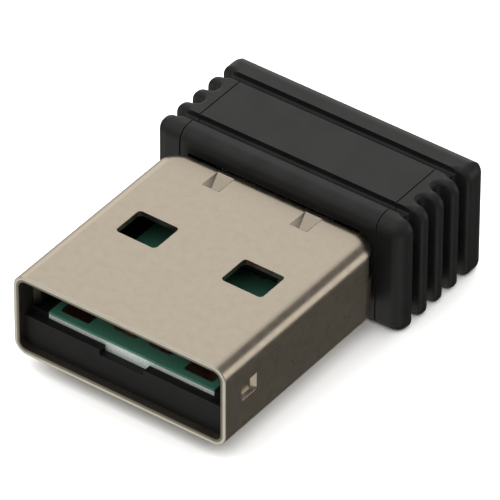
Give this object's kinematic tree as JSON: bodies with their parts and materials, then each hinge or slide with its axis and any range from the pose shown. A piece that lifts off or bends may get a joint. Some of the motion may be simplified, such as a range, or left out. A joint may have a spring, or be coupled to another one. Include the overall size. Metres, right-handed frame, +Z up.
{
  "type": "usb wifi adapter",
  "caption": "Nano USB Wi-Fi adapter: a stamped metal Type-A plug with open contacts and a short black ribbed cap over its radio board.",
  "frame": {"origin": "middle of the plug's mouth, in the plane of its front rim", "axes": "+Y runs from the mouth back into the cap, +Z points up out of the side with the open contacts, +X across the width"},
  "size_m": [0.0142, 0.0189, 0.0062],
  "materials": {
    "shell_steel": "satin nickel-plated stamped steel with a fine grain",
    "cap_plastic": "satin black moulded plastic",
    "tray_plastic": "matt black moulded plastic",
    "board_laminate": "green solder mask over glass-fibre laminate",
    "contact_gold": "thin gold plating on copper",
    "board_copper": "copper under solder mask",
    "solder": "satin tin solder",
    "chip_epoxy": "matt black moulded epoxy",
    "component_ceramic": "fired ceramic",
    "crystal_lid_metal": "plated lid",
    "inductor_ferrite": "dark pressed ferrite",
    "capacitor_ceramic": "tan ceramic",
    "resistor_film": "black glazed film on ceramic"
  },
  "bodies": {
    "root": {"plug_shell": "shell_steel", "cap": "cap_plastic", "contact_tray": "tray_plastic", "circuit_board": "board_laminate", "contact_power": "contact_gold", "contact_data_minus": "contact_gold", "contact_data_plus": "contact_gold", "contact_ground": "contact_gold", "printed_antenna": "board_copper", "test_pads": "contact_gold", "ground_lands": "board_copper", "shell_solder_joints": "solder", "wifi_chip": "chip_epoxy", "wifi_chip_solder": "solder", "crystal_base": "component_ceramic", "crystal_lid": "crystal_lid_metal", "power_inductor": "inductor_ferrite", "ferrite_bead": "inductor_ferrite", "bulk_capacitors": "capacitor_ceramic", "decoupling_capacitors": "capacitor_ceramic", "crystal_load_capacitors": "capacitor_ceramic", "matching_capacitors": "capacitor_ceramic", "matching_inductor": "inductor_ferrite", "resistors": "resistor_film", "component_solder_joints": "solder"}
  },
  "joints": []
}
